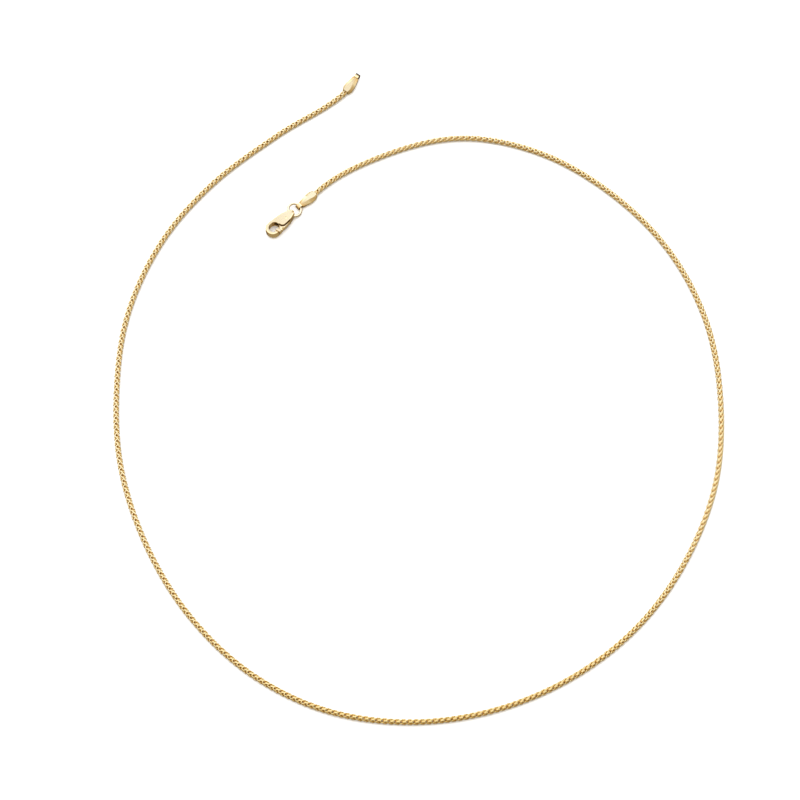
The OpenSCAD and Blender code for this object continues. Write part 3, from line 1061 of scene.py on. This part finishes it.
# The chain's deep colour is painted shade deep in the weave, with a little random tone.
chain_gold = gold(
    "chain_gold_wire", (0.99, 0.85, 0.51, 1), (0.84, 0.57, 0.18, 1), 0.19, 0.15, woven_wire=True
)
cap_gold = gold("cap_gold_sheet", (0.97, 0.82, 0.5, 1), (0.95, 0.77, 0.43, 1), 0.2, 0.04)
# The ring's gold is a paler copy of the others: painted sheen for the white that it reflects.
ring_gold = gold("ring_gold_wire", (0.93, 0.82, 0.6, 1), (0.88, 0.76, 0.52, 1), 0.12, 0.04)
clasp_gold = gold("clasp_gold_cast", (0.97, 0.81, 0.5, 1), (0.95, 0.76, 0.42, 1), 0.17, 0.04)
# The lever's gold is a slightly darker copy of the clasp's: painted shade for the lever, which
# sits lower.
lever_gold = gold("lever_gold_cast", (0.94, 0.77, 0.47, 1), (0.91, 0.71, 0.4, 1), 0.2, 0.06)

for piece, finish in (
    [(p, chain_gold) for p in chain_pieces]
    + [(far_cap, cap_gold), (clasp_cap, cap_gold), (jump_ring, ring_gold)]
    + [(clasp_body, clasp_gold), (pin, clasp_gold), (clasp_lever, lever_gold)]
):
    piece.data.materials.clear()
    piece.data.materials.append(finish)
    print(piece.name, "in", finish.name)

# %% [markdown]
# ## Surface and light
# The photo is a bright cut-out picture: the surface is pure white and hardly a shadow shows.
# A light tent leans over the necklace from behind. It makes the flat tops of the clasp and the
# caps blaze, it is brightest in a ring round the camera's opening, which gives every wire its
# spark, and the sides that face the camera stay warm and dark because they reflect what is low
# and in front. The floor is left out of the gold's reflections, and the tent's warm lower part
# is there in its place. A soft box, which the gold doesn't mirror, washes the shadows out.

# %% Floor, lights and surroundings
floor_mesh = bpy.data.meshes.new("white_floor")
floor_mesh.from_pydata([(-3, -3, 0), (3, -3, 0), (3, 3, 0), (-3, 3, 0)], [], [(0, 1, 2, 3)])
floor = in_scene("white_floor", floor_mesh)
floor.location.z = -0.02 * MM
paper = bpy.data.materials.new("white_paper")
paper.use_nodes = True
paper_shader = paper.node_tree.nodes["Principled BSDF"]
paper_shader.inputs["Base Color"].default_value = (0.95, 0.94, 0.9, 1)
paper_shader.inputs["Roughness"].default_value = 0.9
paper_shader.inputs["Specular IOR Level"].default_value = 0.1
floor.data.materials.append(paper)
floor.visible_glossy = False

box_place, box_width, box_watts = Vector((-0.1, 0.2, 0.9)), 0.9, 6.0
box_light = bpy.data.lights.new("top_box", "AREA")
box_light.size = box_width
box_light.energy = box_watts
soft_box = in_scene("top_box", box_light)
soft_box.location = box_place
soft_box.rotation_euler = (-box_place).to_track_quat("-Z", "Y").to_euler()
soft_box.visible_glossy = False

world = bpy.data.worlds.new("light_tent")
bpy.context.scene.world = world
world.use_nodes = True
tent = Flow(world.node_tree)
direction = tent.node("ShaderNodeTexCoord", output="Generated")
tent_leans = (-0.15, 0.6, 0.785)
towards_back = tent.node(
    "ShaderNodeVectorMath", {"operation": "DOT_PRODUCT"}, {0: direction, 1: tent_leans}, "Value"
)
brightness = tent.node("ShaderNodeValToRGB", {"stops": [
    (0.0, (0.42, 0.35, 0.22, 1)), (0.12, (0.42, 0.35, 0.22, 1)), (0.22, (0.16, 0.13, 0.09, 1)),
    (0.31, (0.3, 0.24, 0.15, 1)), (0.42, (0.55, 0.42, 0.26, 1)),
    (0.58, (0.68, 0.6, 0.47, 1)), (0.7, (0.88, 0.86, 0.82, 1)), (0.8, (1.4, 1.46, 1.6, 1)),
    (0.9, (1.8, 1.9, 2.1, 1)), (0.96, (1.05, 1.13, 1.38, 1)),
]}, {0: towards_back * 0.5 + 0.5})
background = world.node_tree.nodes["Background"]
world.node_tree.links.new(brightness.socket, background.inputs["Color"])
background.inputs["Strength"].default_value = 1.0
bpy.context.scene.view_settings.view_transform = "Standard"
print("surface and lights ready")
